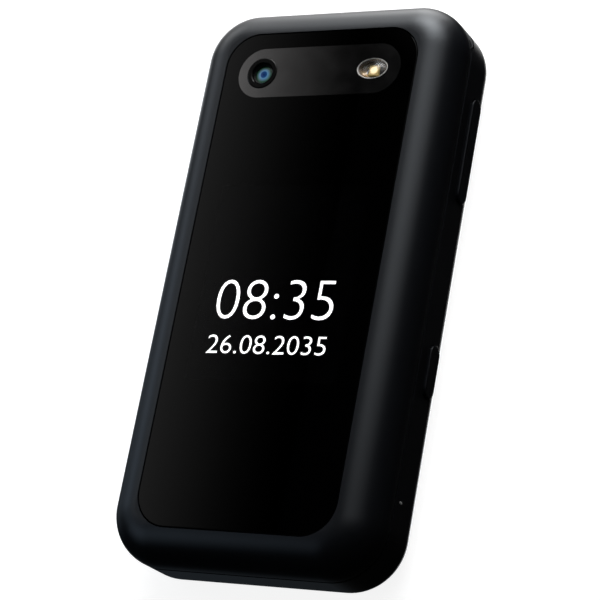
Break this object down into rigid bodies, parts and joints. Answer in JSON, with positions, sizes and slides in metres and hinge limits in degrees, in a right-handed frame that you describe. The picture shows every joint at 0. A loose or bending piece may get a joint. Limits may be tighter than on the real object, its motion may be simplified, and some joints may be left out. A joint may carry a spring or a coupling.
{
  "type": "flip phone",
  "caption": "Closed clamshell mobile phone with a glass-fronted lid, camera bar, keypad, side keys and a sliding battery cover; the lid opens on its hinge.",
  "frame": {"origin": "middle of the flat back face, phone closed and lying on its back", "axes": "+X across the phone to the side with the keys, +Y towards the hinge end, +Z out of the back face towards the lid's glass"},
  "size_m": [0.054, 0.108, 0.0189],
  "materials": {
    "lid_casing": "fine-textured dark blue-grey",
    "inner_casing": "satin near-black",
    "base_casing": "fine-textured dark blue-grey",
    "cover": "fine-textured dark blue-grey",
    "outer_glass": "black gloss glass",
    "bar": "dark grey gloss",
    "ring": "black satin",
    "lens": "coated lens",
    "module": "moulded black",
    "flash_lens": "clear ribbed",
    "led": "yellow phosphor",
    "display": "display glass",
    "window": "clear hard-coated",
    "board": "solder mask",
    "mesh": "dark woven",
    "rubber": "soft matt",
    "steel": "plated",
    "film": "amber polyimide",
    "contact": "gold plated",
    "battery": "wrapped cell",
    "side_key": "satin",
    "key_ring": "satin grey",
    "key": "satin with light legends"
  },
  "bodies": {
    "base": {"rear_housing": "base_casing", "front_housing": "inner_casing", "side_switches": "contact", "dome_sheet": "film", "key_mat": "rubber", "main_circuit_board": "board", "shield_can": "steel", "battery": "battery", "battery_contacts": "contact", "sim_holder": "steel", "loudspeaker": "module", "microphone": "module", "vibration_motor": "steel", "antenna": "contact", "usb_socket": "steel", "headset_socket": "module", "base_screws": "steel"},
    "lid": {"lid_outer_shell": "lid_casing", "window_glass": "outer_glass", "camera_bar": "bar", "camera_ring": "ring", "camera_lens": "lens", "camera_module": "module", "flash_lens": "flash_lens", "flash_led": "led", "outer_display": "display", "lid_circuit_board": "board", "main_display": "display", "main_display_window": "window", "lid_inner_shell": "inner_casing", "earpiece_mesh": "mesh", "earpiece_speaker": "module", "lid_bumpers": "rubber", "lid_screws": "steel", "hinge_pins": "steel", "hinge_spring_module": "steel", "hinge_flex_cable": "film"},
    "back_cover": {"back_cover": "cover"},
    "soft_key_left": {"soft_key_left": "key"},
    "soft_key_right": {"soft_key_right": "key"},
    "call_key": {"call_key": "key"},
    "end_key": {"end_key": "key"},
    "clear_key": {"clear_key": "key"},
    "number_key_0": {"number_key_0": "key"},
    "number_key_1": {"number_key_1": "key"},
    "number_key_2": {"number_key_2": "key"},
    "number_key_3": {"number_key_3": "key"},
    "number_key_4": {"number_key_4": "key"},
    "number_key_5": {"number_key_5": "key"},
    "number_key_6": {"number_key_6": "key"},
    "number_key_7": {"number_key_7": "key"},
    "number_key_8": {"number_key_8": "key"},
    "number_key_9": {"number_key_9": "key"},
    "star_key": {"star_key": "key"},
    "hash_key": {"hash_key": "key"},
    "navigation_key": {"navigation_key": "key_ring"},
    "ok_key": {"ok_key": "key"},
    "volume_key": {"volume_key": "side_key"},
    "emergency_key": {"emergency_key": "side_key"}
  },
  "joints": [
    {"name": "lid_hinge", "type": "hinge", "parent": "base", "child": "lid", "pos_m": [0, 0.0472, 0.012], "axis": [-1, 0, 0], "range_deg": [0, 160]},
    {"name": "back_cover_slide", "type": "slide", "parent": "base", "child": "back_cover", "axis": [0, -1, 0], "range_m": [0, 0.014]},
    {"name": "soft_key_left_press", "type": "slide", "parent": "base", "child": "soft_key_left", "axis": [0, 0, -1], "range_m": [0, 0.00035], "stiffness_N_per_m": 300},
    {"name": "soft_key_right_press", "type": "slide", "parent": "base", "child": "soft_key_right", "axis": [0, 0, -1], "range_m": [0, 0.00035], "stiffness_N_per_m": 300},
    {"name": "call_key_press", "type": "slide", "parent": "base", "child": "call_key", "axis": [0, 0, -1], "range_m": [0, 0.00035], "stiffness_N_per_m": 300},
    {"name": "end_key_press", "type": "slide", "parent": "base", "child": "end_key", "axis": [0, 0, -1], "range_m": [0, 0.00035], "stiffness_N_per_m": 300},
    {"name": "clear_key_press", "type": "slide", "parent": "base", "child": "clear_key", "axis": [0, 0, -1], "range_m": [0, 0.00035], "stiffness_N_per_m": 300},
    {"name": "number_key_0_press", "type": "slide", "parent": "base", "child": "number_key_0", "axis": [0, 0, -1], "range_m": [0, 0.00035], "stiffness_N_per_m": 300},
    {"name": "number_key_1_press", "type": "slide", "parent": "base", "child": "number_key_1", "axis": [0, 0, -1], "range_m": [0, 0.00035], "stiffness_N_per_m": 300},
    {"name": "number_key_2_press", "type": "slide", "parent": "base", "child": "number_key_2", "axis": [0, 0, -1], "range_m": [0, 0.00035], "stiffness_N_per_m": 300},
    {"name": "number_key_3_press", "type": "slide", "parent": "base", "child": "number_key_3", "axis": [0, 0, -1], "range_m": [0, 0.00035], "stiffness_N_per_m": 300},
    {"name": "number_key_4_press", "type": "slide", "parent": "base", "child": "number_key_4", "axis": [0, 0, -1], "range_m": [0, 0.00035], "stiffness_N_per_m": 300},
    {"name": "number_key_5_press", "type": "slide", "parent": "base", "child": "number_key_5", "axis": [0, 0, -1], "range_m": [0, 0.00035], "stiffness_N_per_m": 300},
    {"name": "number_key_6_press", "type": "slide", "parent": "base", "child": "number_key_6", "axis": [0, 0, -1], "range_m": [0, 0.00035], "stiffness_N_per_m": 300},
    {"name": "number_key_7_press", "type": "slide", "parent": "base", "child": "number_key_7", "axis": [0, 0, -1], "range_m": [0, 0.00035], "stiffness_N_per_m": 300},
    {"name": "number_key_8_press", "type": "slide", "parent": "base", "child": "number_key_8", "axis": [0, 0, -1], "range_m": [0, 0.00035], "stiffness_N_per_m": 300},
    {"name": "number_key_9_press", "type": "slide", "parent": "base", "child": "number_key_9", "axis": [0, 0, -1], "range_m": [0, 0.00035], "stiffness_N_per_m": 300},
    {"name": "star_key_press", "type": "slide", "parent": "base", "child": "star_key", "axis": [0, 0, -1], "range_m": [0, 0.00035], "stiffness_N_per_m": 300},
    {"name": "hash_key_press", "type": "slide", "parent": "base", "child": "hash_key", "axis": [0, 0, -1], "range_m": [0, 0.00035], "stiffness_N_per_m": 300},
    {"name": "navigation_key_press", "type": "slide", "parent": "base", "child": "navigation_key", "axis": [0, 0, -1], "range_m": [0, 0.00035], "stiffness_N_per_m": 300},
    {"name": "ok_key_press", "type": "slide", "parent": "base", "child": "ok_key", "axis": [0, 0, -1], "range_m": [0, 0.00035], "stiffness_N_per_m": 300},
    {"name": "volume_key_rock", "type": "hinge", "parent": "base", "child": "volume_key", "pos_m": [0.0252, 0.0281, 0.00625], "axis": [0, 0, 1], "range_deg": [-1.5, 1.5], "stiffness_Nm_per_rad": 0.03},
    {"name": "emergency_key_press", "type": "slide", "parent": "base", "child": "emergency_key", "axis": [-1, 0, 0], "range_m": [0, 0.00035], "stiffness_N_per_m": 300}
  ]
}
